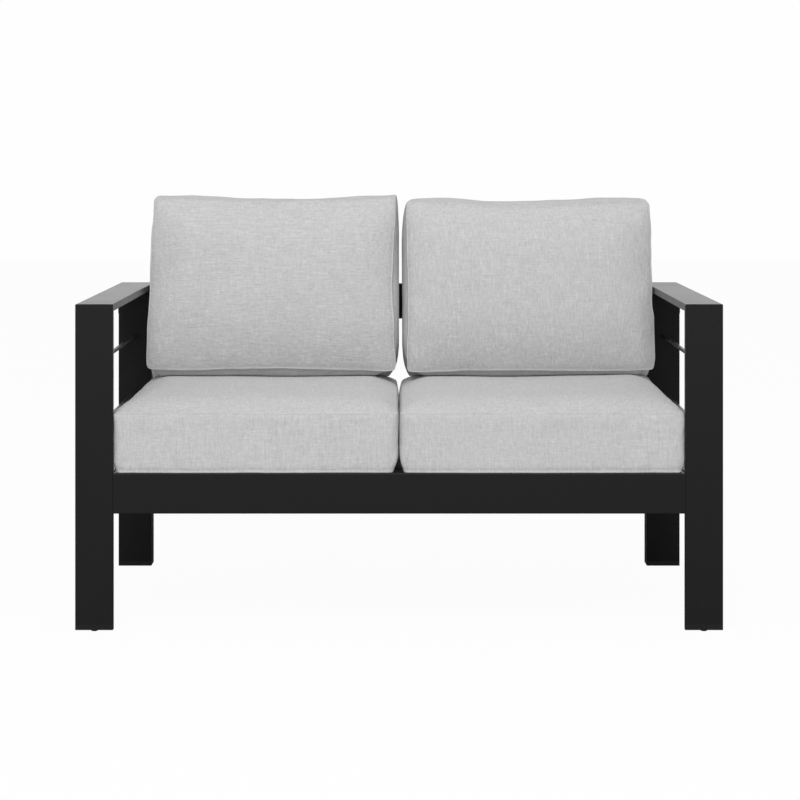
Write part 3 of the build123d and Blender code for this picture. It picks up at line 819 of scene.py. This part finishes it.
SEED_SHIFT = (7.3, 3.1, 5.7)
# Painted shade low on each back cushion, strongest at its foot and fading upwards.
FOOT_SHADE_FROM, FOOT_SHADE_REACH, FOOT_SHADE_POWER, PAINTED_FOOT_SHADE = 0.02, 0.15, 1.6, 0.3
# Painted shade on the right back's lower right side, where the cloth rolls under and turns from
# the light.
ROLLED_SIDE, ROLLED_FOOT, ROLL_SHADE = (0.528, 0.544), (0.13, 0.19), 0.42


def random_field(points, size, seed):
    """Smooth random numbers between about -1 and 1, that change over a given size."""
    offset = Vector([seed * shift for shift in SEED_SHIFT])
    return np.array([noise.noise(Vector(point) / size + offset) for point in points])


def seam_profile(mesh, kind, quality):
    """A seam quality at each point, from the seam that is nearest to it."""
    marks, on_face = get_values(mesh, "from_seam"), get_values(mesh, "face_side")
    back, face = (np.interp(marks, SEAM_AT, SEAMS[name][quality]) for name in SEAM_KINDS[kind])
    profile = back + (face - back) * (on_face > 0.5)
    if kind == "back":
        top = np.clip(get_points(mesh)[:, 1] / BACK_LENGTH, 0, 1) ** TOP_POWER
        profile += (np.interp(marks, SEAM_AT, SEAMS["flat"][quality]) - profile) * top
    return profile


def sew(cushion, kind, seed):
    """Raise the seam ridges, and gather and wave the cloth beside them."""
    mesh = cushion.data
    marks = get_values(mesh, "from_seam")
    points = get_points(mesh)
    pucker = PUCKER * random_field(points, PUCKER_SIZE, seed) * np.exp(-marks / PUCKER_REACH)
    tug = TUG[kind] * random_field(points, TUG_SIZE, seed + 1) * np.exp(-marks / TUG_REACH)
    wave = WAVE * random_field(points, WAVE_SIZE, seed + 2)
    lift = seam_profile(mesh, kind, "height") + pucker * (marks > 0) + tug + wave
    set_points(mesh, points + get_normals(mesh) * lift[:, None])


def shade_cover(mesh, kind):
    """Paint shade and highlights in the cloth by seams, low on a back and on a rolled side."""
    shade = seam_profile(mesh, kind, "shade")
    if kind == "back":
        across, along = get_points(mesh)[:, :2].T
        low_down = np.clip(1 - (along - FOOT_SHADE_FROM) / FOOT_SHADE_REACH, 0, 1)
        # Where the painted shade of the right back's rolled side goes.
        rolled = np.interp(across, ROLLED_SIDE, (0, 1)) * np.interp(along, ROLLED_FOOT, (1, 0))
        beside_ridge = get_values(mesh, "from_seam") > SEAM_AT[1]
        # Painted shade low on a back, and on the right back's rolled lower side.
        dim = PAINTED_FOOT_SHADE * low_down**FOOT_SHADE_POWER + ROLL_SHADE * rolled * (1 - low_down / 2)
        shade += dim * get_values(mesh, "face_side") * beside_ridge
    set_values(mesh, "painted_light_and_shade", shade)


def smooth_once(cushion):
    """Apply one subdivision, so that each quad becomes four."""
    divide = cushion.modifiers.new("divide", "SUBSURF")
    divide.levels = divide.render_levels = 1
    fine = cushion.evaluated_get(bpy.context.evaluated_depsgraph_get())
    mesh = bpy.data.meshes.new_from_object(fine)
    cushion.modifiers.clear()
    cushion.data = mesh


print("sewing helpers ready")

# %% [markdown]
# ## Fitting each cushion to what it touches
# A cushion is flat where it rests and nowhere else. The seat cushions lie on the slats, so
# nothing of them goes below the back panel's plane, and the two press against each other along
# a line that wanders a little. The back cushions stand on the crown of the seat cushions and
# lean on the back rail, so their feet follow the crown a millimetre above it, and the rail
# makes a shallow dent in their rear panels. Their sides stay clear of the arms.

# %% Limits and contacts
BACK_LEAN = math.radians(12.9)
BACK_FOOT = (0.2489, 0.422)
BAY_HALF, ARM_CLEARANCE = 0.565, 0.0004
SEAT_LENGTH, SEAT_BULGE, BULGE_FADE, REAR_BAND = 0.63, 0.004, 0.02, 0.03
ZIP_MARGIN, ZIP_HALF_WIDTH = 0.004, 0.018
SEAT_SEAT_GAP, SEAT_LINE = 0.0005, -0.0008
SEAT_WANDER, WANDER_TURNS = 0.0011, (17, 45)
REAR_CROWN, REAR_SIDE_REACH, REAR_END_REACH = 0.009, 0.16, 0.1
RAIL_DENT = {"line": 0.2298, "reach": 0.085, "force": 1.35}
ZIP_DENT = {"line": 0.062, "reach": 0.045, "force": 2.5}
ABOVE_ALL, FOOT_ZONE, FOOT_GAP, FOOT_SAG = 1.0, 0.12, 0.001, 0.004


def place_of(side, kind):
    """The matrix that puts a cushion made flat into its place."""
    low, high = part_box(f"{side}_{kind}_cushion_cover")
    if kind == "seat":
        return Matrix.Translation((0, high.y - SEAT_LENGTH, low.z))
    turn = Matrix.Rotation(math.pi / 2 - BACK_LEAN, 4, "X")
    return Matrix.Translation((0, *BACK_FOOT)) @ turn


def dent(values, line, reach, force):
    """1 on a line that presses the cloth flat, fading to 0 at a distance from it."""
    return np.clip(force * np.clip(1 - np.abs(values - line) / reach, 0, 1), 0, 1)


def keep_flat(cushion, side, kind):
    """Flatten a cushion where it rests and where its zip lies."""
    x, y, z = get_points(cushion.data).T.copy()
    if kind == "seat":
        z = np.maximum(z, 0)
        low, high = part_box(f"{side}_seat_cushion_zip")
        along_zip = (x > low.x - ZIP_MARGIN) & (x < high.x + ZIP_MARGIN)
        middle = MM * LEFT_SEAT["band"] / 2
        bulge = np.clip((np.abs(z - middle) - ZIP_HALF_WIDTH) / BULGE_FADE, 0, 1)
        most = SEAT_LENGTH + SEAT_BULGE * np.where(along_zip, bulge, 1)
        beside_zip = along_zip & (bulge == 0) & (y > SEAT_LENGTH - REAR_BAND)
        y = np.where(beside_zip, SEAT_LENGTH, np.minimum(y, most))
    else:
        from_side = np.minimum(x - x.min(), x.max() - x)
        from_end = np.maximum(np.minimum(y, y.max() - y), 0)
        free = (1 - dent(y, **RAIL_DENT)) * (1 - dent(y, **ZIP_DENT))
        depth = REAR_CROWN * free * crown_rise(from_side, REAR_SIDE_REACH)
        depth = depth * crown_rise(from_end, REAR_END_REACH)
        z = np.where(z < MM * LEFT_BACK["band"] / 4, np.maximum(z - depth, -depth), z)
    set_points(cushion.data, np.stack([x, y, z], axis=1))


def keep_apart(cushion, side, kind):
    """Keep a cushion clear of the arm and of the cushion beside it."""
    x, y, z = world_points(cushion).T
    limit = BAY_HALF - ARM_CLEARANCE
    turns = WANDER_TURNS[0] * y + WANDER_TURNS[1] * z
    inner = SEAT_LINE + SEAT_WANDER * np.sin(turns) if kind == "seat" else 0.0
    if side == "left":
        x = np.clip(x, -limit, inner - SEAT_SEAT_GAP / 2)
    else:
        x = np.clip(x, inner + SEAT_SEAT_GAP / 2, limit)
    set_world_points(cushion, np.stack([x, y, z], axis=1))


def stand_on(cushion, seat):
    """Let a back cushion's foot follow the crown of its seat cushion, just above it."""
    faces = [tuple(polygon.vertices) for polygon in seat.data.polygons]
    tree = BVHTree.FromPolygons(world_points(seat).tolist(), faces)
    points = world_points(cushion)
    resting = 0
    for point in points:
        if point[2] > BACK_FOOT[1] + FOOT_ZONE:
            continue
        hit = tree.ray_cast(Vector((point[0], point[1], ABOVE_ALL)), Vector((0, 0, -1)))[0]
        if hit is None:
            continue
        above = point[2] - hit.z
        drop = max(0.0, above - FOOT_GAP)
        sunk = FOOT_SAG * math.exp(-drop / (2 * FOOT_SAG)) * min(1, drop / FOOT_SAG)
        point[2] = hit.z + FOOT_GAP + drop - sunk
        resting += above < FOOT_GAP
    set_world_points(cushion, points)
    print(f"{cushion.name}: {resting} points rest on {seat.name}")


print("fitting helpers ready")

# %% [markdown]
# ## Make the four cushions
# The same steps make each cushion, with its own seed, so that no two are alike. The covers are
# cut from one cloth, but not all the same way round: across the left back cushion the weft runs
# level and shows most, and on the other three the stronger yarns stand upright.

# %% Make one cushion
def make_cushion(side, kind, seed, turn):
    """Cut, fill, sew and place one cushion."""
    mesh = cushion_mesh(f"{side}_{kind}_cushion_padded", FORMS[side, kind])
    cushion = bpy.data.objects.new(mesh.name, mesh)
    bpy.context.scene.collection.objects.link(cushion)
    fill_cover(cushion)
    sew(cushion, kind, seed)
    smooth_once(cushion)
    keep_flat(cushion, side, kind)
    shade_cover(cushion.data, kind)
    set_values(cushion.data, "yarn_turn", np.full(len(cushion.data.vertices), float(turn)))
    cushion.matrix_world = place_of(side, kind)
    cushion.data.materials.clear()
    cushion.data.materials.append(fabric)
    cushion.data.shade_smooth()
    return cushion


# Side, kind, seed, and 1 where the stronger yarns stand upright.
MAKING = [("left", "seat", 11, 1), ("right", "seat", 24, 1), ("left", "back", 37, 0),
          ("right", "back", 52, 1)]
cushions = {}
for side, kind, seed, turn in MAKING:
    cushion = make_cushion(side, kind, seed, turn)
    cushions[side, kind] = cushion
    if kind == "back":
        stand_on(cushion, cushions[side, "seat"])
    keep_apart(cushion, side, kind)
    name = f"{side}_{kind}_cushion"
    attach(cushion, name)
    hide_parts(f"{name}_cover", f"{name}_foam")
    points = world_points(cushion)
    print(name, "from", np.round(points.min(0), 4), "to", np.round(points.max(0), 4))

# %% [markdown]
# ## The studio
# The photograph is a catalogue picture on seamless white, lit from everywhere with a slightly
# stronger light from above and in front. A large pale floor carries the shadow. What the camera
# sees of the floor and the world is white, and this comes from their own colour and not from
# stronger lamps, so the cloth keeps its written grey. Gloss sees a white sky, which makes the
# arm tops shine, but no white floor, so the upright sides of the tubes stay black.

# %% Floor
FLOOR_HALF = 14.0
FLOOR_SEEN_WHITE = 0.965
FLOOR_GREY, FLOOR_IN_GLOSS = 0.8, 0.12


def floor_finish():
    """A white floor that keeps a soft shadow, and that black gloss doesn't mirror."""
    finish = Finish("studio_floor", Roughness=0.9, Specular_IOR_Level=0.0)
    camera_ray, glossy_ray = (finish.node("LightPath", output=f"Is {kind} Ray")
                              for kind in ("Camera", "Glossy"))
    finish.set(Base_Color=finish.tint(glossy_ray, FLOOR_GREY, FLOOR_IN_GLOSS))
    glow = finish.node("Emission", Color=grey(1.0))
    finish.show(finish.node("MixShader", n0=camera_ray * FLOOR_SEEN_WHITE, n1=finish.shader,
                            n2=glow))
    return finish.material


floor_mesh = bpy.data.meshes.new("studio_floor")
floor_mesh.from_pydata([(-FLOOR_HALF, -FLOOR_HALF, 0), (FLOOR_HALF, -FLOOR_HALF, 0),
                        (FLOOR_HALF, FLOOR_HALF, 0), (-FLOOR_HALF, FLOOR_HALF, 0)],
                       [], [(0, 1, 2, 3)])
floor = bpy.data.objects.new("studio_floor", floor_mesh)
floor_mesh.materials.append(floor_finish())
bpy.context.scene.collection.objects.link(floor)
print("floor", 2 * FLOOR_HALF, "m wide")


# %% World and lamps
WORLD_WHITE, WORLD_LIGHT = 0.99, 0.42


def light_world():
    """An even white world: plain for the camera and for gloss, dimmer as a light."""
    world = bpy.data.worlds.new("studio")
    world.use_nodes = True
    sky = Nodes(world.node_tree, "ShaderNodeOutputWorld")
    camera_ray, glossy_ray, clear_ray = (sky.node("LightPath", output=f"Is {kind} Ray")
                                         for kind in ("Camera", "Glossy", "Transmission"))
    light, seen = (sky.node("Background", Color=grey(WORLD_WHITE), Strength=strength)
                   for strength in (WORLD_LIGHT, 1.0))
    sky.show(sky.node("MixShader", n0=camera_ray | glossy_ray | clear_ray, n1=light, n2=seen))
    bpy.context.scene.world = world


def softbox(name, place, aim, size, power):
    """A square area lamp that gives light but isn't seen in gloss."""
    data = bpy.data.lights.new(name, "AREA")
    data.shape = "SQUARE"
    data.size = size
    data.energy = power
    lamp = bpy.data.objects.new(name, data)
    lamp.location = place
    lamp.rotation_euler = (Vector(aim) - Vector(place)).to_track_quat("-Z", "Y").to_euler()
    lamp.visible_glossy = False
    bpy.context.scene.collection.objects.link(lamp)
    return lamp


light_world()
softbox("key_light", place=(-0.3, -3.15, 3.9), aim=(0, 0, 0.5), size=2.8, power=150.0)
bpy.context.scene.view_settings.view_transform = "Standard"
print("world and", len(bpy.data.lights), "lamps ready")
